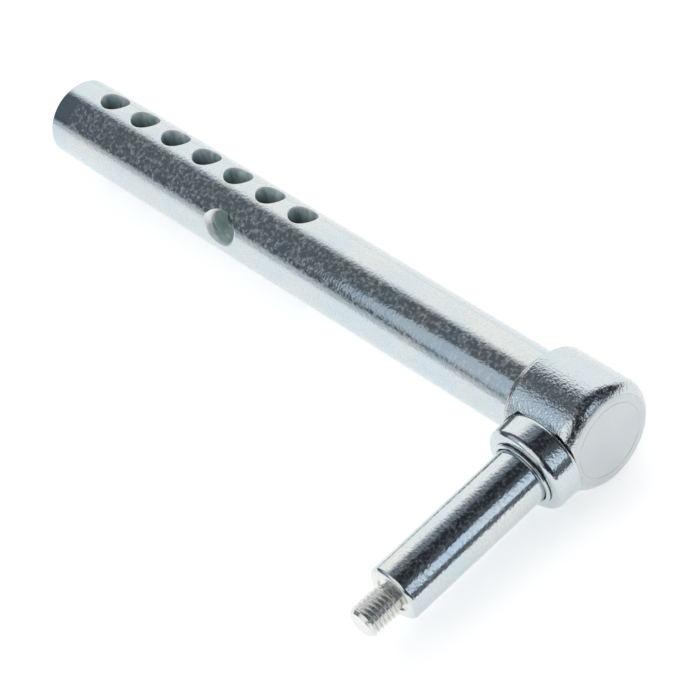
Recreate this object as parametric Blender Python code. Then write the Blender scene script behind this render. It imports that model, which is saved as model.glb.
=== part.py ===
"""Leg of a height-adjustable wheel: a drilled round bar, a head and a threaded stub axle.

Metres, +Z up. The bar runs along X with its free end at -X, and the axle points along -Y.
The origin is the centre of the bounding box's bottom face.
"""
import math

import bmesh
import bpy
from mathutils import Vector

# Bar
BAR_RADIUS = 0.0175
BAR_REACH = 0.300             # from the axle's axis to the free end
LEAD_IN_LENGTH = 0.010
LEAD_IN_DROP = 0.00015
BAR_END_ROUND = 0.0010
SPIGOT_STEP = 0.0015          # the spigot is this much smaller in radius than the bar

# Pin holes in the bar; angles are about the bar, from +Z towards the axle
PIN_HOLES = 7
PIN_PITCH = 0.020
PIN_RADIUS = 0.00625
PIN_SINK = 0.0003             # countersink depth below the bar's crown
PIN_ANGLE = math.radians(-22)
FIRST_PIN = 0.0222            # from the free end
SIDE_HOLE = 0.1106            # from the free end
SIDE_RADIUS = 0.0071
SIDE_SINK = 0.003
SIDE_ANGLE = math.radians(61)

# Head
HEAD_WALL = 0.0062            # the head stands this far proud of the bar
HEAD_WIDTH = 0.034
HEAD_END = 0.0165             # from the axle's axis to the end face
END_ROUND = 0.0065
BACK_ROUND = 0.0012
SEAM_CHAMFER = 0.0004
SEAT_PROUD = 0.0002           # the collar's seat lies this far outside the bar

# Axle, measured from the bar's axis
SHANK_RADIUS = 0.0095
JOURNAL_RADIUS = 0.01225
JOURNAL_END = 0.1017
JOURNAL_CHAMFER = 0.0012
RELIEF_DEPTH = 0.0006         # face recess that keeps the nut's seat clear of the thread
UNDERCUT_LENGTH = 0.002
THREAD_RADIUS = 0.007
THREAD_PITCH = 0.002
THREAD_SHARE = 0.6134         # depth of a metric thread as a share of its pitch
THREAD_LENGTH = 0.0167        # from the nut's seat to the tip
TIP_CHAMFER = 0.0015
SHANK_CHAMFER = 0.0006
RELIEF_MARGIN = 0.0006        # the recess is this much wider in radius than the thread

# Rings on the axle
COLLAR_WIDTH = 0.013
COLLAR_WALL = 0.0068
COLLAR_FRONT_ROUND = 0.003
COLLAR_BACK_ROUND = 0.0020
RING_WIDTH = 0.0010
RING_WALL = 0.0022
RING_ROUND = 0.0005

# Welds
FILLET_LEG = 0.0045
FILLET_THROAT = 0.45          # share of the leg; 0.5 would be a flat fillet
PLUG_DEPTH = 0.0045
PLUG_CROWN = 0.0013
PLUG_SINK = 0.0012            # the plug's crown lies this far below the head's crown

# Gap between pieces that touch
CLEARANCE = 0.0003

# Fineness of the round surfaces
SEGMENTS = 72
HOLE_SEGMENTS = 40
AXLE_SEGMENTS = 40
ARC_STEPS = 4
STEPS_PER_TURN = 6

# Sizes that follow
HEAD_RADIUS = BAR_RADIUS + HEAD_WALL
HEAD_BACK = HEAD_END - HEAD_WIDTH
SPIGOT_RADIUS = BAR_RADIUS - SPIGOT_STEP
SEAT_REACH = BAR_RADIUS + SEAT_PROUD
SHANK_END = HEAD_RADIUS - PLUG_DEPTH
COLLAR_RADIUS = JOURNAL_RADIUS + COLLAR_WALL
SEAT_RADIUS = COLLAR_RADIUS + CLEARANCE
COLLAR_BACK = SEAT_REACH + CLEARANCE
COLLAR_FRONT = COLLAR_BACK + COLLAR_WIDTH
RING_BACK = COLLAR_FRONT + CLEARANCE
RING_BORE = JOURNAL_RADIUS + CLEARANCE
AXLE_TIP = JOURNAL_END + THREAD_LENGTH
THREAD_DEPTH = THREAD_SHARE * THREAD_PITCH
UNDERCUT_RADIUS = THREAD_RADIUS - THREAD_DEPTH - CLEARANCE / 2
PASS_THROUGH = 2 * HEAD_RADIUS


def metal(name, colour, roughness):
    """Bare or plated steel."""
    material = bpy.data.materials.new(name)
    material.use_nodes = True
    shader = material.node_tree.nodes["Principled BSDF"]
    shader.inputs["Base Color"].default_value = (*colour, 1)
    shader.inputs["Metallic"].default_value = 1
    shader.inputs["Roughness"].default_value = roughness
    return material


def arc(along, radius, size, start, end):
    """Points on a round corner about (along, radius), from one angle to another in degrees."""
    points = []
    for step in range(ARC_STEPS + 1):
        angle = math.radians(start + (end - start) * step / ARC_STEPS)
        points.append((along + size * math.cos(angle), radius + size * math.sin(angle)))
    return points


def ring_of(along, radius, segments):
    """One turn of points about Z; the radius may depend on the part of a turn."""
    points = []
    for index in range(segments):
        turn = index / segments
        reach = radius(along, turn) if callable(radius) else radius
        angle = math.tau * turn
        points.append(Vector((reach * math.cos(angle), reach * math.sin(angle), along)))
    return points


def turned(name, profile, segments=SEGMENTS, hollow=False):
    """A body turned about its own Z from (along, radius) points; a hollow one is a closed ring."""
    form = bmesh.new()
    rings = []
    for along, radius in profile:
        rings.append([form.verts.new(point) for point in ring_of(along, radius, segments)])
    pairs = list(zip(rings, rings[1:]))
    if hollow:
        pairs.append((rings[-1], rings[0]))
    else:
        form.faces.new(rings[0])
        form.faces.new(rings[-1])
    for low, high in pairs:
        for index in range(segments):
            after = (index + 1) % segments
            form.faces.new((low[index], low[after], high[after], high[index]))
    bmesh.ops.recalc_face_normals(form, faces=form.faces)
    mesh = bpy.data.meshes.new(name)
    form.to_mesh(mesh)
    form.free()
    mesh.shade_smooth()
    mesh.set_sharp_from_angle(angle=math.radians(30))
    piece = bpy.data.objects.new(name, mesh)
    bpy.context.collection.objects.link(piece)
    return piece


def place(piece, parent, rotation, shift=(0, 0, 0)):
    """Hang a piece on the crossing of the two axes."""
    piece.parent = parent
    piece.rotation_euler = rotation
    piece.location = shift


def along_bar(piece, parent):
    """Local +Z becomes +X."""
    place(piece, parent, (0, math.radians(90), 0))


def along_axle(piece, parent):
    """Local +Z becomes -Y."""
    place(piece, parent, (math.radians(90), 0, 0))


def cut(piece, cutter):
    """Subtract a cutter, which stays as a wire guide."""
    cutter.hide_render = True
    cutter.display_type = "WIRE"
    modifier = piece.modifiers.new(cutter.name, "BOOLEAN")
    modifier.operation = "DIFFERENCE"
    modifier.object = cutter


def hole_cutter(name, parent, place_x, angle, radius, sink):
    """A through hole across the bar with a 45 degree countersink at each mouth."""
    mouth = BAR_RADIUS - sink
    beyond = BAR_RADIUS + radius
    wide = radius + beyond - mouth
    profile = [(-beyond, wide), (-mouth, radius), (mouth, radius), (beyond, wide)]
    cutter = turned(name, profile, HOLE_SEGMENTS)
    place(cutter, parent, (angle, 0, 0), (place_x, 0, 0))
    return cutter


def shank_cutter(parent):
    """The cross bore for the axle's shank, through the head and the spigot."""
    radius = SHANK_RADIUS + CLEARANCE
    cutter = turned("shank_bore", [(-PASS_THROUGH, radius), (PASS_THROUGH, radius)], AXLE_SEGMENTS)
    along_axle(cutter, parent)
    return cutter


def seat_cutter(parent):
    """The round spot face that the collar sits on."""
    cutter = turned("collar_seat", [(SEAT_REACH, SEAT_RADIUS), (SEAT_REACH + PASS_THROUGH, SEAT_RADIUS)])
    along_axle(cutter, parent)
    return cutter


def make_bar(parent, shank_bore):
    """The drilled bar with its lead-in and spigot."""
    free_end = -BAR_REACH
    shoulder = HEAD_BACK - CLEARANCE
    tip_radius = BAR_RADIUS - LEAD_IN_DROP
    profile = arc(free_end + BAR_END_ROUND, tip_radius - BAR_END_ROUND, BAR_END_ROUND, 180, 90)
    profile += [
        (free_end + LEAD_IN_LENGTH, BAR_RADIUS),
        (shoulder, BAR_RADIUS),
        (shoulder, SPIGOT_RADIUS),
        (HEAD_END - SEAM_CHAMFER, SPIGOT_RADIUS),
        (HEAD_END, SPIGOT_RADIUS - SEAM_CHAMFER),
    ]
    bar = turned("adjuster_stem", profile)
    along_bar(bar, parent)
    for index in range(PIN_HOLES):
        place_x = free_end + FIRST_PIN + index * PIN_PITCH
        cut(bar, hole_cutter(f"pin_hole_{index + 1}", parent, place_x, PIN_ANGLE, PIN_RADIUS, PIN_SINK))
    cut(bar, hole_cutter("side_hole", parent, free_end + SIDE_HOLE, SIDE_ANGLE, SIDE_RADIUS, SIDE_SINK))
    cut(bar, shank_bore)
    return bar


def make_head(parent, shank_bore, seat):
    """The sleeve on the spigot, rounded at its end, bored across for the axle and spot-faced."""
    bore = SPIGOT_RADIUS + CLEARANCE
    profile = [(HEAD_BACK, bore)]
    profile += arc(HEAD_BACK + BACK_ROUND, HEAD_RADIUS - BACK_ROUND, BACK_ROUND, 180, 90)
    profile += arc(HEAD_END - END_ROUND, HEAD_RADIUS - END_ROUND, END_ROUND, 90, 0)
    profile += [(HEAD_END, bore + SEAM_CHAMFER), (HEAD_END - SEAM_CHAMFER, bore)]
    head = turned("head_sleeve", profile, hollow=True)
    along_bar(head, parent)
    cut(head, shank_bore)
    cut(head, seat)
    return head


def make_bar_weld(parent, seat):
    """A slightly hollow fillet weld behind the head, cut by the spot face, with its toe past the collar."""
    inner = BAR_RADIUS + CLEARANCE
    face = HEAD_BACK - CLEARANCE
    throat = FILLET_LEG * FILLET_THROAT
    toe = min(face - FILLET_LEG, -SEAT_RADIUS - throat)
    profile = [
        (face, inner),
        (toe, inner),
        (toe, inner + CLEARANCE),
        (face - throat, inner + throat),
        (face - CLEARANCE, inner + FILLET_LEG),
        (face, inner + FILLET_LEG),
    ]
    weld = turned("stem_weld", profile, hollow=True)
    along_bar(weld, parent)
    cut(weld, seat)
    return weld


def thread_radius(along, turn):
    """A right-hand 60 degree thread, run in from the undercut and chamfered at the tip."""
    crest_half = THREAD_PITCH / 16
    from_crest = abs((along / THREAD_PITCH - turn) % 1 - 0.5) * THREAD_PITCH
    drop = max(0, from_crest - crest_half) / math.tan(math.radians(30))
    radius = THREAD_RADIUS - min(drop, THREAD_DEPTH)
    run_in = UNDERCUT_RADIUS + along - JOURNAL_END - UNDERCUT_LENGTH
    run_out = THREAD_RADIUS - TIP_CHAMFER + AXLE_TIP - along
    return min(radius, run_in, run_out)


def make_axle(parent):
    """Shank, journal, nut shoulder, undercut and thread, turned from one bar."""
    relief_radius = THREAD_RADIUS + RELIEF_MARGIN
    relief = JOURNAL_END - RELIEF_DEPTH
    profile = [
        (-SHANK_END, SHANK_RADIUS - SHANK_CHAMFER),
        (-SHANK_END + SHANK_CHAMFER, SHANK_RADIUS),
        (COLLAR_BACK, SHANK_RADIUS),
        (COLLAR_BACK, JOURNAL_RADIUS),
        (JOURNAL_END - JOURNAL_CHAMFER, JOURNAL_RADIUS),
        (JOURNAL_END, JOURNAL_RADIUS - JOURNAL_CHAMFER),
        (JOURNAL_END, relief_radius),
        (relief, relief_radius),
        (relief, UNDERCUT_RADIUS),
    ]
    start = JOURNAL_END + UNDERCUT_LENGTH
    steps = round((AXLE_TIP - start) / THREAD_PITCH * STEPS_PER_TURN)
    for step in range(steps + 1):
        profile.append((start + (AXLE_TIP - start) * step / steps, thread_radius))
    axle = turned("axle_spindle", profile, AXLE_SEGMENTS)
    along_axle(axle, parent)
    return axle


def make_axle_weld(parent):
    """The plug weld over the shank's end, crowned but below the head's surface."""
    low = SHANK_END + CLEARANCE
    edge = HEAD_RADIUS - PLUG_SINK - PLUG_CROWN
    profile = [(-low, SHANK_RADIUS)]
    for step in range(ARC_STEPS + 1):
        share = step / (ARC_STEPS + 1)
        profile.append((-edge - PLUG_CROWN * math.sqrt(share * (2 - share)), SHANK_RADIUS * (1 - share)))
    weld = turned("axle_root_weld", profile, AXLE_SEGMENTS)
    along_axle(weld, parent)
    return weld


def make_collar(parent):
    """The wide ring pressed on the journal against the head's spot face."""
    back, front = COLLAR_BACK_ROUND, COLLAR_FRONT_ROUND
    profile = [(COLLAR_BACK, RING_BORE)]
    profile += arc(COLLAR_BACK + back, COLLAR_RADIUS - back, back, 180, 90)
    profile += arc(COLLAR_FRONT - front, COLLAR_RADIUS - front, front, 90, 0)
    profile += [(COLLAR_FRONT, RING_BORE)]
    collar = turned("thrust_collar", profile, hollow=True)
    along_axle(collar, parent)
    return collar


def make_ring(parent):
    """The thin step in front of the collar."""
    outer = JOURNAL_RADIUS + RING_WALL
    front = RING_BACK + RING_WIDTH
    profile = [(RING_BACK, RING_BORE), (RING_BACK, outer)]
    profile += arc(front - RING_ROUND, outer - RING_ROUND, RING_ROUND, 90, 0)
    profile += [(front, RING_BORE)]
    ring = turned("shoulder_ring", profile, hollow=True)
    along_axle(ring, parent)
    return ring


def build():
    """All the pieces, hung on an empty where the bar's and the axle's axes cross."""
    for old in list(bpy.data.objects):
        bpy.data.objects.remove(old)
    crossing = bpy.data.objects.new("axes_crossing", None)
    furthest_x = max(HEAD_END, COLLAR_RADIUS)
    crossing.location = ((BAR_REACH - furthest_x) / 2, (AXLE_TIP - HEAD_RADIUS) / 2, HEAD_RADIUS)
    bpy.context.collection.objects.link(crossing)

    shank_bore = shank_cutter(crossing)
    seat = seat_cutter(crossing)
    bright_zinc = (0.78, 0.79, 0.81)
    worn_zinc = (0.72, 0.73, 0.75)
    weld_grey = (0.55, 0.55, 0.56)
    looks = (
        (make_bar(crossing, shank_bore), "zinc_bar", worn_zinc, 0.28),
        (make_head(crossing, shank_bore, seat), "zinc_head", bright_zinc, 0.24),
        (make_bar_weld(crossing, seat), "zinc_bar_weld", weld_grey, 0.45),
        (make_axle(crossing), "zinc_axle", bright_zinc, 0.22),
        (make_axle_weld(crossing), "zinc_axle_weld", weld_grey, 0.45),
        (make_collar(crossing), "zinc_collar", bright_zinc, 0.16),
        (make_ring(crossing), "zinc_ring", worn_zinc, 0.26),
    )
    for piece, name, colour, roughness in looks:
        piece.data.materials.append(metal(name, colour, roughness))


build()
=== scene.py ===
"""Looks of the adjustable wheel leg: fine turned surfaces, zinc plate, studio light and camera."""

import math

import bmesh
import bpy
from mathutils import Euler, Matrix, Quaternion, Vector


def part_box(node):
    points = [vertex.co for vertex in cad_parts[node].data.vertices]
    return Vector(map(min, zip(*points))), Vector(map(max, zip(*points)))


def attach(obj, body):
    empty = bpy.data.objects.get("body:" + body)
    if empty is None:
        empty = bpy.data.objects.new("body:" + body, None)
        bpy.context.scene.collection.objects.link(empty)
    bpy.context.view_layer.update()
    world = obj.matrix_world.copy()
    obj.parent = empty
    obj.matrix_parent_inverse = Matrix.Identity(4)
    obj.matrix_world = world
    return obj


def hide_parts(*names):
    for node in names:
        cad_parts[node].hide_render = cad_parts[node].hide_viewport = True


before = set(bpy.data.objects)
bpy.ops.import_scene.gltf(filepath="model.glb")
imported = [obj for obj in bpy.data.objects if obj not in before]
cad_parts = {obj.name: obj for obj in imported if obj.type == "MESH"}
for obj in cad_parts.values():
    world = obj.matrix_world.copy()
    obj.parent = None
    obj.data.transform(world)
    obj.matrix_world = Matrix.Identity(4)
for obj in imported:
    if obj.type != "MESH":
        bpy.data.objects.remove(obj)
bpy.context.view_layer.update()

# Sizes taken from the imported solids, in metres
bar_low, bar_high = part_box("adjuster_stem")
head_low, head_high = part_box("head_sleeve")
weld_low, weld_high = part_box("stem_weld")
axle_low, axle_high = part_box("axle_spindle")
plug_low, plug_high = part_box("axle_root_weld")
collar_low, collar_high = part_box("thrust_collar")
ring_low, ring_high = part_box("shoulder_ring")

CROSSING = Vector(((axle_low.x + axle_high.x) / 2, (bar_low.y + bar_high.y) / 2, (bar_low.z + bar_high.z) / 2))
BAR_RADIUS = (bar_high.z - bar_low.z) / 2
HEAD_RADIUS = (head_high.z - head_low.z) / 2
JOURNAL_RADIUS = (axle_high.x - axle_low.x) / 2
COLLAR_RADIUS = (collar_high.x - collar_low.x) / 2
RING_RADIUS = (ring_high.x - ring_low.x) / 2
PLUG_RADIUS = (plug_high.x - plug_low.x) / 2

# Places along the bar, from the crossing of the axes towards the head's end
FREE_END = bar_low.x - CROSSING.x
END_FACE = bar_high.x - CROSSING.x
HEAD_BACK = head_low.x - CROSSING.x
WELD_TOE = weld_low.x - CROSSING.x
WELD_ROOT = weld_high.x - CROSSING.x

# Places along the axle, from the crossing towards the tip
TIP = CROSSING.y - axle_low.y
SHANK_BACK = CROSSING.y - axle_high.y
PLUG_TOP = CROSSING.y - plug_high.y
PLUG_BASE = CROSSING.y - plug_low.y
COLLAR_BACK = CROSSING.y - collar_high.y
COLLAR_FRONT = CROSSING.y - collar_low.y
RING_BACK = CROSSING.y - ring_high.y
RING_FRONT = CROSSING.y - ring_low.y

# Details that the boxes don't give, the same as in the solids
GAP = 0.0003
SPIGOT_RADIUS = BAR_RADIUS - 0.0015
SHANK_RADIUS = PLUG_RADIUS
SEAT_REACH = COLLAR_BACK - GAP
LEAD_IN = 0.010
PIN_HOLES = 7
PIN_PITCH = 0.020
FIRST_PIN = 0.0222
PIN_RADIUS = 0.00625
PIN_SINK = 0.0003
PIN_ANGLE = math.radians(-22)
SIDE_FROM_END = 0.1106
SIDE_RADIUS = 0.0071
SIDE_SINK = 0.003
SIDE_ANGLE = math.radians(61)
JOURNAL_END = TIP - 0.0167
THREAD_RADIUS = 0.007
THREAD_PITCH = 0.002
THREAD_DEPTH = 0.6134 * THREAD_PITCH
UNDERCUT_RADIUS = THREAD_RADIUS - THREAD_DEPTH - GAP / 2
UNDERCUT_END = JOURNAL_END + 0.002
TIP_CHAMFER = 0.0015

# Order of the plates on the bar; the plain plate is first
LEAD_SLOT, FACE_SLOT, SINK_SLOT, PIN_SLOT, SIDE_SLOT = 1, 2, 3, 4, 5

SEGMENTS = 240
HOLE_SEGMENTS = 96
ARC_STEPS = 8


# Shapes

def arc(along, radius, size, start, end, steps=ARC_STEPS):
    """Points on a round corner about (along, radius), from one angle to another in degrees."""
    points = []
    for step in range(steps + 1):
        angle = math.radians(start + (end - start) * step / steps)
        points.append((along + size * math.cos(angle), radius + size * math.sin(angle)))
    return points


def turned(name, profile, segments=SEGMENTS, hollow=False, bend=None):
    """A body turned about its own Z; a radius may be a function of the place and the part of a turn.

    A bend gives the place along the axis anew from the place, the radius and the angle.
    """
    form = bmesh.new()
    rings = []
    for along, radius in profile:
        ring = []
        for index in range(segments):
            turn = index / segments
            angle = math.tau * turn
            reach = radius(along, turn) if callable(radius) else radius
            height = bend(along, reach, angle) if bend else along
            ring.append(form.verts.new((reach * math.cos(angle), reach * math.sin(angle), height)))
        rings.append(ring)
    pairs = list(zip(rings, rings[1:]))
    if hollow:
        pairs.append((rings[-1], rings[0]))
    else:
        form.faces.new(rings[0])
        form.faces.new(rings[-1])
    for low, high in pairs:
        for index in range(segments):
            after = (index + 1) % segments
            form.faces.new((low[index], low[after], high[after], high[index]))
    bmesh.ops.recalc_face_normals(form, faces=form.faces)
    mesh = bpy.data.meshes.new(name)
    form.to_mesh(mesh)
    form.free()
    piece = bpy.data.objects.new(name, mesh)
    bpy.context.scene.collection.objects.link(piece)
    return piece


def stand(piece, rotation, shift=(0, 0, 0)):
    """Turn and move a piece from its own axes to the crossing, in its vertices."""
    piece.data.transform(Matrix.Translation(CROSSING + Vector(shift)) @ Euler(rotation).to_matrix().to_4x4())


def along_bar(piece):
    stand(piece, (0, math.radians(90), 0))


def along_axle(piece):
    stand(piece, (math.radians(90), 0, 0))


def subtract(piece, cutters):
    """Cut the piece with each cutter, keep the cut faces' own material slot, and drop the cutters."""
    for cutter in cutters:
        modifier = piece.modifiers.new(cutter.name, "BOOLEAN")
        modifier.operation = "DIFFERENCE"
        modifier.solver = "EXACT"
        modifier.material_mode = "INDEX"
        modifier.object = cutter
    depsgraph = bpy.context.evaluated_depsgraph_get()
    result = bpy.data.meshes.new_from_object(piece.evaluated_get(depsgraph))
    piece.modifiers.clear()
    piece.data = result
    for cutter in cutters:
        bpy.data.objects.remove(cutter)


def smooth(piece, sharp=32):
    """Smooth shading with edges sharper than the angle kept."""
    piece.data.shade_smooth()
    piece.data.set_sharp_from_angle(angle=math.radians(sharp))


def exact_round(piece, radius, axis):
    """Faces on a round outside about the bar's or the axle's axis get the true normal at every corner."""
    mesh = piece.data
    normals = [(0, 0, 0)] * len(mesh.loops)

    def outward(point):
        out = point - CROSSING
        out[axis] = 0
        return out

    for face in mesh.polygons:
        out = outward(face.center)
        if abs(out.length - radius) > 0.0002 or face.normal.dot(out.normalized()) < 0.998:
            continue
        for loop in face.loop_indices:
            normals[loop] = outward(mesh.vertices[mesh.loops[loop].vertex_index].co).normalized()
    mesh.normals_split_custom_set(normals)


def on_bar(along, reach, angle):
    """The place along a hole's axis, lowered as the bar's round surface falls away from its crown."""
    if abs(along) > 1.001 * BAR_RADIUS:
        return along
    fall = BAR_RADIUS - math.sqrt(BAR_RADIUS ** 2 - (reach * math.sin(angle)) ** 2)
    return along - math.copysign(fall, along)


def hole_cutter(name, place, angle, radius, sink, bore_slot, bend=None):
    """A through hole across the bar with a rounded countersink at each mouth."""
    curve = sink * math.sqrt(2)
    low, high = math.radians(15), math.radians(75)
    upper = []
    for step in range(ARC_STEPS + 1):
        turn = low + (high - low) * step / ARC_STEPS
        depth = sink - curve * (math.sin(turn) - math.sin(low))
        upper.append((BAR_RADIUS - depth, radius + curve * (math.cos(low) - math.cos(turn))))
    upper.append((upper[-1][0] + sink, upper[-1][1] + sink))
    profile = [(-along, reach) for along, reach in reversed(upper)] + upper
    cutter = turned(name, profile, HOLE_SEGMENTS, bend=bend)
    for face in cutter.data.polygons:
        # Countersink faces take the pale plate that paints a highlight on the holes' rims.
        face.material_index = bore_slot if abs(face.center.z) < BAR_RADIUS / 2 else SINK_SLOT
    stand(cutter, (angle, 0, 0), (place, 0, 0))
    return cutter


def shank_cutter():
    reach = 2 * HEAD_RADIUS
    cutter = turned("shank_cutter", [(-reach, SHANK_RADIUS + GAP), (reach, SHANK_RADIUS + GAP)], HOLE_SEGMENTS)
    along_axle(cutter)
    return cutter


def seat_cutter():
    """The round spot face that the collar sits on."""
    radius = COLLAR_RADIUS + GAP
    cutter = turned("seat_cutter", [(SEAT_REACH, radius), (SEAT_REACH + 2 * HEAD_RADIUS, radius)])
    along_axle(cutter)
    return cutter


# Pieces

def make_bar():
    """Drilled bar with a short lead-in, a rounded end and the spigot that fills the head."""
    drop = 0.00015
    end_round = 0.0010
    seam = 0.00006
    rim = PIN_SINK + 0.00015
    profile = arc(FREE_END + end_round, BAR_RADIUS - drop - end_round, end_round, 180, 90)
    start, stop = FREE_END + LEAD_IN, HEAD_BACK - GAP
    stations = 32
    profile += [(start + (stop - start) * step / stations, BAR_RADIUS) for step in range(stations + 1)]
    profile += [(stop, SPIGOT_RADIUS), (END_FACE - seam, SPIGOT_RADIUS), (END_FACE, SPIGOT_RADIUS - seam)]
    bar = turned("bar_surface", profile)
    along_bar(bar)
    cutters = []
    for index in range(PIN_HOLES):
        place = FREE_END + FIRST_PIN + index * PIN_PITCH
        cutters.append(hole_cutter(f"pin_cutter_{index}", place, PIN_ANGLE, PIN_RADIUS, rim, PIN_SLOT, on_bar))
    place = FREE_END + SIDE_FROM_END
    cutters.append(hole_cutter("side_cutter", place, SIDE_ANGLE, SIDE_RADIUS, SIDE_SINK, SIDE_SLOT))
    cutters.append(shank_cutter())
    for plate in (BAR_ZINC, LEAD_ZINC, FACE_ZINC, SINK_HIGHLIGHT_ZINC, PIN_BORE, SIDE_BORE):
        bar.data.materials.append(plate)
    subtract(bar, cutters)
    for face in bar.data.polygons:
        if face.material_index == 0 and face.center.x < CROSSING.x + FREE_END + LEAD_IN:
            face.material_index = LEAD_SLOT
        elif face.center.x > CROSSING.x + END_FACE - seam:
            face.material_index = FACE_SLOT
    smooth(bar)
    exact_round(bar, BAR_RADIUS, 0)
    return bar


def make_head():
    """Sleeve head with a rounded end, bored for the axle and spot-faced for the collar."""
    bore = SPIGOT_RADIUS + 0.00002
    back_round, end_round, seam = 0.0012, 0.0065, 0.00006
    profile = [(HEAD_BACK, bore)]
    profile += arc(HEAD_BACK + back_round, HEAD_RADIUS - back_round, back_round, 180, 90)
    profile += arc(END_FACE - end_round, HEAD_RADIUS - end_round, end_round, 90, 0, 24)
    profile += [(END_FACE, bore + seam), (END_FACE - seam, bore)]
    head = turned("head_surface", profile, hollow=True)
    along_bar(head)
    head.data.materials.append(HEAD_ZINC)
    head.data.materials.append(FACE_ZINC)
    subtract(head, [shank_cutter(), seat_cutter()])
    for face in head.data.polygons:
        if face.normal.x > 0.93:
            face.material_index = 1
    smooth(head)
    exact_round(head, HEAD_RADIUS, 0)
    return head


def make_bar_weld():
    """Rippled fillet weld in the corner behind the head."""
    inner = BAR_RADIUS + GAP
    ripples = 44
    ripple = 0.00012
    size = WELD_ROOT - WELD_TOE

    def skin(share):
        bulge = 0.12 * size * math.sin(math.pi * share)

        def radius(along, turn):
            wave = ripple * (abs(math.sin(math.pi * ripples * (turn + 0.012 * share))) - 1)
            return inner + size * share - bulge + wave * math.sin(math.pi * share)
        return radius

    steps = 12
    profile = [(WELD_ROOT, inner), (WELD_TOE, inner)]
    for step in range(1, steps + 1):
        share = step / steps
        profile.append((WELD_TOE + size * share, skin(share)))
    weld = turned("bar_weld_surface", profile, hollow=True)
    along_bar(weld)
    weld.data.materials.append(WELD_ZINC)
    subtract(weld, [seat_cutter()])
    smooth(weld, 60)
    return weld


def thread_radius(along, turn):
    """Right-hand rolled thread with softened crests and roots, run in and chamfered at its ends."""
    from_crest = abs((along / THREAD_PITCH - turn) % 1 - 0.5)
    share = min(max((from_crest - 1 / 16) / 0.354, 0), 1)
    share = 0.45 * share + 0.55 * share * share * (3 - 2 * share)
    radius = THREAD_RADIUS - THREAD_DEPTH * share
    run_in = UNDERCUT_RADIUS + along - UNDERCUT_END
    run_out = THREAD_RADIUS - TIP_CHAMFER + TIP - along
    return min(radius, run_in, run_out)


def make_axle():
    """Shank, bearing journal, nut shoulder, undercut and thread."""
    chamfer = 0.0012
    soft = 0.00025
    relief_radius = THREAD_RADIUS + 0.0006
    relief = JOURNAL_END - 0.0006
    profile = [
        (SHANK_BACK, SHANK_RADIUS - 0.0006),
        (SHANK_BACK + 0.0006, SHANK_RADIUS),
        (COLLAR_BACK, SHANK_RADIUS),
        (COLLAR_BACK, JOURNAL_RADIUS),
        (JOURNAL_END - chamfer - soft, JOURNAL_RADIUS),
        (JOURNAL_END - chamfer + soft, JOURNAL_RADIUS - soft),
        (JOURNAL_END - soft, JOURNAL_RADIUS - chamfer + soft),
        (JOURNAL_END, JOURNAL_RADIUS - chamfer - soft),
        (JOURNAL_END, relief_radius),
        (relief, relief_radius),
        (relief, UNDERCUT_RADIUS),
    ]
    steps = 190
    for step in range(steps + 1):
        profile.append((UNDERCUT_END + (TIP - UNDERCUT_END) * step / steps, thread_radius))
    axle = turned("axle_surface", profile, 160)
    along_axle(axle)
    axle.data.materials.append(AXLE_ZINC)
    axle.data.materials.append(THREAD_ZINC)
    for face in axle.data.polygons:
        out = face.center - CROSSING
        inside = math.hypot(out.x, out.z) < JOURNAL_RADIUS - chamfer
        face.material_index = 1 if inside and -out.y > relief - soft else 0
    smooth(axle, 38)
    exact_round(axle, JOURNAL_RADIUS, 1)
    return axle


def make_axle_weld():
    """Plug weld over the shank's end: a crowned dome of weld ripples in rings."""
    steps = 40
    turns = 5
    ripple = 0.00008
    edge = PLUG_TOP + 0.0013

    def skin(share):
        return lambda along, turn: PLUG_RADIUS * (1 - share)

    profile = [(PLUG_BASE, PLUG_RADIUS)]
    for step in range(steps):
        share = step / steps
        crown = (edge - PLUG_TOP) * math.sqrt(share * (2 - share))
        dip = ripple * (1 - abs(math.sin(math.pi * turns * share)))
        profile.append((edge - crown + dip, skin(share)))
    weld = turned("axle_weld_surface", profile, 96)
    along_axle(weld)
    weld.data.materials.append(WELD_ZINC)
    smooth(weld, 60)
    return weld


def make_collar():
    """Wide polished ring against the head's spot face."""
    bore = JOURNAL_RADIUS + GAP
    back, front = 0.0020, 0.003
    profile = [(COLLAR_BACK, bore)]
    profile += arc(COLLAR_BACK + back, COLLAR_RADIUS - back, back, 180, 90)
    profile += arc(COLLAR_FRONT - front, COLLAR_RADIUS - front, front, 90, 0, 16)
    profile += [(COLLAR_FRONT, bore)]
    collar = turned("collar_surface", profile, hollow=True)
    along_axle(collar)
    collar.data.materials.append(COLLAR_ZINC)
    smooth(collar)
    exact_round(collar, COLLAR_RADIUS, 1)
    return collar


def make_ring():
    """Thin step that the hub runs up against."""
    bore = JOURNAL_RADIUS + GAP
    edge = 0.0005
    profile = [(RING_BACK, bore), (RING_BACK, RING_RADIUS)]
    profile += arc(RING_FRONT - edge, RING_RADIUS - edge, edge, 90, 0)
    profile += [(RING_FRONT, bore + edge), (RING_FRONT - edge, bore)]
    ring = turned("ring_surface", profile, hollow=True)
    along_axle(ring)
    ring.data.materials.append(RING_ZINC)
    smooth(ring)
    return ring


# Materials

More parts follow.
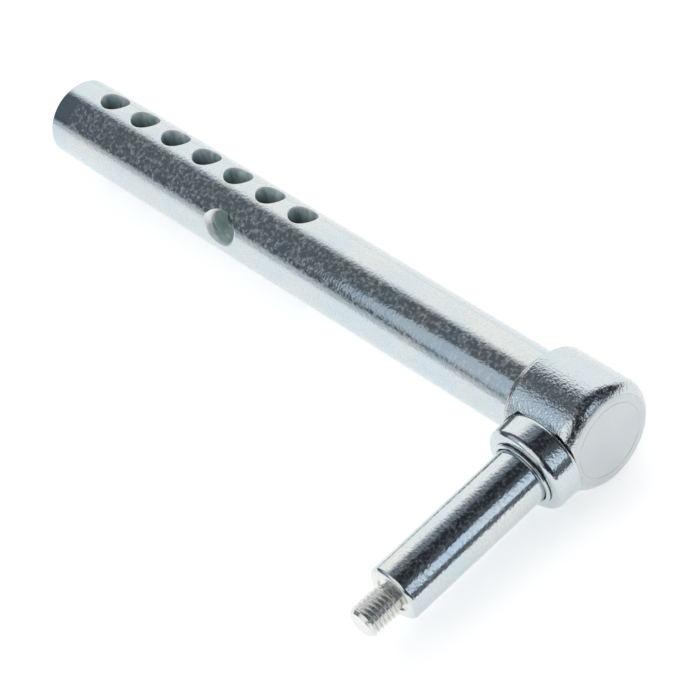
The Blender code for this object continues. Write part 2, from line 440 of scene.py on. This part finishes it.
class Tree:
    """Short ways to add and join nodes."""

    def __init__(self, name):
        self.material = bpy.data.materials.new(name)
        self.material.use_nodes = True
        self.nodes = self.material.node_tree.nodes
        self.links = self.material.node_tree.links
        self.shader = self.nodes["Principled BSDF"]

    def add(self, kind, **settings):
        node = self.nodes.new(kind)
        for key, value in settings.items():
            setattr(node, key, value)
        return node

    def join(self, source, target):
        self.links.new(source, target)

    def place(self, stretch=(1, 1, 1)):
        """Object coordinates in metres, stretched per axis."""
        coordinates = self.add("ShaderNodeTexCoord")
        mapping = self.add("ShaderNodeMapping")
        mapping.inputs["Scale"].default_value = stretch
        self.join(coordinates.outputs["Object"], mapping.inputs["Vector"])
        return mapping.outputs["Vector"]

    def noise(self, scale, detail=3, rough=0.5, stretch=(1, 1, 1)):
        node = self.add("ShaderNodeTexNoise")
        node.inputs["Scale"].default_value = scale
        node.inputs["Detail"].default_value = detail
        node.inputs["Roughness"].default_value = rough
        self.join(self.place(stretch), node.inputs["Vector"])
        return node.outputs["Fac"]

    def from_bar(self):
        """Distance from the bar's axis, in metres."""
        coordinates = self.add("ShaderNodeTexCoord")
        mapping = self.add("ShaderNodeMapping")
        mapping.inputs["Location"].default_value = (0, -CROSSING.y, -CROSSING.z)
        mapping.inputs["Scale"].default_value = (0, 1, 1)
        length = self.add("ShaderNodeVectorMath", operation="LENGTH")
        self.join(coordinates.outputs["Object"], mapping.inputs["Vector"])
        self.join(mapping.outputs["Vector"], length.inputs[0])
        return length.outputs["Value"]

    def cells(self, scale):
        """Distance to the nearest of a scatter of points, in cells."""
        node = self.add("ShaderNodeTexVoronoi")
        node.inputs["Scale"].default_value = scale
        self.join(self.place(), node.inputs["Vector"])
        return node.outputs["Distance"]

    def span(self, value, low, high, out_low, out_high):
        node = self.add("ShaderNodeMapRange")
        node.inputs["From Min"].default_value = low
        node.inputs["From Max"].default_value = high
        node.inputs["To Min"].default_value = out_low
        node.inputs["To Max"].default_value = out_high
        self.join(value, node.inputs["Value"])
        return node.outputs["Result"]

    def math(self, operation, first, second):
        node = self.add("ShaderNodeMath", operation=operation)
        for value, socket in ((first, node.inputs[0]), (second, node.inputs[1])):
            if isinstance(value, (int, float)):
                socket.default_value = value
            else:
                self.join(value, socket)
        return node.outputs[0]

    def blend(self, share, first, second):
        """Mix two colours, each a fixed one or a socket."""
        node = self.add("ShaderNodeMix", data_type="RGBA")
        self.join(share, node.inputs["Factor"])
        sockets = [s for s in node.inputs if s.type == "RGBA"]
        for value, socket in ((first, sockets[0]), (second, sockets[1])):
            if isinstance(value, tuple):
                socket.default_value = (*value, 1)
            else:
                self.join(value, socket)
        return [s for s in node.outputs if s.type == "RGBA"][0]

    def bump(self, height, distance, strength=1.0, below=None):
        node = self.add("ShaderNodeBump")
        node.inputs["Strength"].default_value = strength
        node.inputs["Distance"].default_value = distance
        self.join(height, node.inputs["Height"])
        if below is not None:
            self.join(below, node.inputs["Normal"])
        return node.outputs["Normal"]


def zinc(name, cool, warm, gloss, grain, wave, bloom, metallic=1.0):
    """Bright zinc plate: drifting tint, specks of pale bloom, fine grain, soft waves and a few small nicks.

    The gloss is a roughness range; the grain and the wave are each a noise scale and a depth in metres.
    The bloom is how far the specks turn from metal to chalk.
    """
    tree = Tree(name)
    drift = tree.span(tree.noise(55, 2), 0.35, 0.65, 0, 1)
    tint = tree.blend(drift, cool, warm)
    speckle = tree.noise(grain[0] * 0.8, 3, 0.6)
    chalk = tuple((1 + 0.3 * bloom) * (low + high) / 2 for low, high in zip(cool, warm))
    tint = tree.blend(tree.span(speckle, 0.46, 0.68, 0, 1), tint, chalk)
    tree.join(tint, tree.shader.inputs["Base Color"])
    tree.join(tree.span(speckle, 0.46, 0.66, gloss[0], gloss[1]), tree.shader.inputs["Roughness"])
    tree.join(tree.span(speckle, 0.46, 0.68, metallic, metallic - bloom), tree.shader.inputs["Metallic"])
    soft = tree.bump(tree.noise(wave[0], 2), wave[1])
    fine = tree.bump(tree.noise(grain[0], 2), grain[1], below=soft)
    nicks = tree.bump(tree.span(tree.cells(62), 0.02, 0.05, 0, 1), 0.00006, below=fine)
    tree.join(nicks, tree.shader.inputs["Normal"])
    return tree.material


def bore_plate(name, painted_shade, floor):
    """Plate inside a hole: drill lines along it, with a painted highlight, near-white, at the lip, and painted shade
    that thins and darkens it towards the painted_shade colour deeper in; floor is the share of the bar's radius,
    from its axis, where that painted shade is full.
    """
    tree = Tree(name)
    lines = tree.noise(420, 3, 0.6, (1, 1, 0.12))
    light = tree.blend(tree.span(lines, 0.36, 0.64, 0, 1), (0.42, 0.57, 0.59), (0.86, 0.97, 0.99))
    depth = tree.from_bar()
    # Painted shade: the drill lines darken to the painted_shade colour deeper in the hole.
    tint = tree.blend(tree.span(depth, floor * BAR_RADIUS, 0.9 * BAR_RADIUS, 0, 1), painted_shade, light)
    # Painted highlight: near-white in the hole's outermost part, next to the bar's surface.
    tint = tree.blend(tree.span(depth, 0.92 * BAR_RADIUS, BAR_RADIUS, 0, 1), tint, (0.96, 0.97, 0.97))
    tree.join(tint, tree.shader.inputs["Base Color"])
    tree.join(tree.span(lines, 0.3, 0.7, 0.25, 0.5), tree.shader.inputs["Roughness"])
    tree.shader.inputs["Metallic"].default_value = 0.4
    tree.join(tree.bump(lines, 0.0003), tree.shader.inputs["Normal"])
    return tree.material


COOL, WARM = (0.57, 0.655, 0.69), (0.65, 0.675, 0.66)
FACED = ((0.57, 0.61, 0.63), (0.61, 0.63, 0.63))
ROLLED = ((0.72, 0.75, 0.74), (0.79, 0.79, 0.75))
# Countersink colours: near-white, a painted highlight for the bright rims round the holes.
SINK_HIGHLIGHT_TINTS = ((0.86, 0.88, 0.88), (0.92, 0.92, 0.90))
WELDED = ((0.52, 0.54, 0.56), (0.58, 0.57, 0.54))
BAR_ZINC = zinc("zinc_bar", COOL, WARM, (0.10, 0.24), (780, 0.00007), (170, 0.00003), 0.32)
LEAD_ZINC = zinc("zinc_lead_in", COOL, COOL, (0.05, 0.10), (900, 0.00005), (170, 0.00003), 0.03)
HEAD_ZINC = zinc("zinc_head", COOL, WARM, (0.05, 0.22), (1000, 0.0002), (300, 0.00004), 0.25)
FACE_ZINC = zinc("zinc_face", *FACED, (0.30, 0.40), (900, 0.00005), (300, 0.00003), 0.05)
AXLE_ZINC = zinc("zinc_axle", COOL, WARM, (0.06, 0.22), (900, 0.00007), (300, 0.00003), 0.15)
THREAD_ZINC = zinc("zinc_thread", *ROLLED, (0.12, 0.28), (900, 0.00002), (300, 0.00002), 0.1, 0.85)
COLLAR_ZINC = zinc("zinc_collar", COOL, WARM, (0.05, 0.18), (1000, 0.00007), (260, 0.00002), 0.12)
RING_ZINC = zinc("zinc_ring", COOL, WARM, (0.12, 0.22), (900, 0.00003), (170, 0.00003), 0.15)
WELD_ZINC = zinc("zinc_weld", *WELDED, (0.25, 0.45), (900, 0.00006), (300, 0.00006), 0.2)
# Countersink plate: pale base, half metal and satin, a painted highlight that keeps the holes' rims bright.
SINK_HIGHLIGHT_ZINC = zinc("zinc_sink", *SINK_HIGHLIGHT_TINTS, (0.3, 0.5), (900, 0.00008), (300, 0.00005), 0.1, 0.45)
# Each bore's first colour is its painted shade deep down; the side hole's is paler and full only near the bar's
# axis.
PIN_BORE = bore_plate("zinc_pin_bore", (0.10, 0.13, 0.13), 0.52)
SIDE_BORE = bore_plate("zinc_side_bore", (0.50, 0.56, 0.52), 0.1)

made = (
    (make_bar(), "adjuster_stem", "zinc_bar"),
    (make_head(), "head_sleeve", "zinc_head"),
    (make_bar_weld(), "stem_weld", "zinc_bar_weld"),
    (make_axle(), "axle_spindle", "zinc_axle"),
    (make_axle_weld(), "axle_root_weld", "zinc_axle_weld"),
    (make_collar(), "thrust_collar", "zinc_collar"),
    (make_ring(), "shoulder_ring", "zinc_ring"),
)
for piece, node, slot in made:
    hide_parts(node)
    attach(piece, "root")


# Floor, light and camera

def make_floor():
    bpy.ops.mesh.primitive_plane_add(size=8, location=(0, 0, -0.0001))
    floor = bpy.context.object
    floor.name = "floor"
    tree = Tree("floor_white")
    tree.shader.inputs["Base Color"].default_value = (0.88, 0.88, 0.88, 1)
    tree.shader.inputs["Roughness"].default_value = 0.9
    tree.shader.inputs["Emission Color"].default_value = (1, 1, 1, 1)
    tree.shader.inputs["Emission Strength"].default_value = 0.52
    floor.data.materials.append(tree.material)


def direction(azimuth, elevation):
    """Unit vector towards an azimuth, from -Y towards +X, and an elevation, in degrees."""
    a, e = math.radians(azimuth), math.radians(elevation)
    return Vector((math.sin(a) * math.cos(e), -math.cos(a) * math.cos(e), math.sin(e)))


def make_world():
    """A dim room with soft panels: where each lies, its full and faded half-angles, and how bright it is."""
    panels = (
        (-142, 9, 36, 54, 1.13),
        (-148, 62, 3, 13, 0.2),
        (-66, 40, 22, 44, 0.11),
        (-36, -4, 10, 20, 0.65),
        (2, 32, 18, 36, 1.0),
        (118, 44, 4, 14, 0.07),
        (113, 2, 10, 30, 0.12),
    )
    shadow, bright = (0.78, 0.92, 1.12, 1), (1.02, 1, 0.99, 1)
    world = bpy.data.worlds.new("studio")
    world.use_nodes = True
    nodes, links = world.node_tree.nodes, world.node_tree.links
    look = nodes.new("ShaderNodeTexCoord").outputs["Generated"]
    total = None
    for azimuth, elevation, inner, outer, power in panels:
        dot = nodes.new("ShaderNodeVectorMath")
        dot.operation = "DOT_PRODUCT"
        dot.inputs[1].default_value = direction(azimuth, elevation)
        links.new(look, dot.inputs[0])
        fade = nodes.new("ShaderNodeMapRange")
        fade.interpolation_type = "SMOOTHSTEP"
        fade.inputs["From Min"].default_value = math.cos(math.radians(outer))
        fade.inputs["From Max"].default_value = math.cos(math.radians(inner))
        fade.inputs["To Max"].default_value = power
        links.new(dot.outputs["Value"], fade.inputs["Value"])
        add = nodes.new("ShaderNodeMath")
        add.inputs[0].default_value = 0.035
        if total is not None:
            links.new(total, add.inputs[0])
        links.new(fade.outputs["Result"], add.inputs[1])
        total = add.outputs[0]
    links.new(total, nodes["Background"].inputs["Strength"])
    colour = nodes.new("ShaderNodeMix")
    colour.data_type = "RGBA"
    ends = [socket for socket in colour.inputs if socket.type == "RGBA"]
    ends[0].default_value = shadow
    ends[1].default_value = bright
    links.new(total, colour.inputs["Factor"])
    links.new([socket for socket in colour.outputs if socket.type == "RGBA"][0], nodes["Background"].inputs["Color"])
    bpy.context.scene.world = world


def make_flag():
    """A low dark card standing beside the part, hidden from the camera."""
    bpy.ops.mesh.primitive_plane_add(size=1)
    flag = bpy.context.object
    flag.name = "flag"
    flag.scale = (0.032, 0.4, 1)
    flag.rotation_euler = (0, math.radians(90), 0)
    flag.location = (CROSSING.x + 0.2, CROSSING.y, 0.017)
    flag.visible_camera = False
    tree = Tree("flag_grey")
    tree.shader.inputs["Base Color"].default_value = (0.12, 0.14, 0.17, 1)
    tree.shader.inputs["Roughness"].default_value = 0.9
    flag.data.materials.append(tree.material)


def area_light(name, place, aim, width, height, power, colour, in_metal):
    """A light panel; one that isn't for the metal lights the floor without showing in reflections."""
    data = bpy.data.lights.new(name, "AREA")
    data.color = colour
    data.shape = "ELLIPSE" if width == height else "RECTANGLE"
    data.size = width
    data.size_y = height
    data.energy = power
    light = bpy.data.objects.new(name, data)
    light.location = place
    light.rotation_mode = "QUATERNION"
    light.rotation_quaternion = (aim - place).to_track_quat("-Z", "Y")
    light.visible_glossy = in_metal
    light.visible_camera = False
    bpy.context.scene.collection.objects.link(light)


def make_camera():
    """The photograph's camera, found from the part's outlines."""
    azimuth, elevation, roll = 60.135, 46.272, math.radians(-19.196)
    distance = 1.300
    aim = CROSSING + Vector((-0.1025, -0.02543, -0.00151))
    focal_pixels, picture_pixels = 3283.5, 700
    data = bpy.data.cameras.new("camera")
    data.sensor_width = 36
    data.lens = focal_pixels / picture_pixels * data.sensor_width
    data.clip_start = 0.05
    camera = bpy.data.objects.new("camera", data)
    back = direction(azimuth, elevation)
    camera.location = aim + back * distance
    camera.rotation_mode = "QUATERNION"
    camera.rotation_quaternion = (-back).to_track_quat("-Z", "Y") @ Quaternion((0, 0, 1), roll)
    bpy.context.scene.collection.objects.link(camera)
    bpy.context.scene.camera = camera


make_floor()
make_world()
make_flag()
journal_middle = CROSSING + Vector((0, -0.065, 0))
white, sky = (1, 1, 1), (0.84, 0.97, 1.12)
area_light("overhead", Vector((0, 0, 1.6)), Vector((0, 0, 0)), 2.2, 2.2, 11.5, white, False)
area_light("far_card", CROSSING + Vector((-0.19, -0.23, 0.20)), CROSSING, 0.24, 0.24, 0.068, sky, True)
area_light("side_card", CROSSING + Vector((0.32, 0.06, 0.16)), journal_middle, 0.12, 0.18, 0.058, sky, True)
make_camera()
bpy.context.scene.view_settings.view_transform = "Standard"
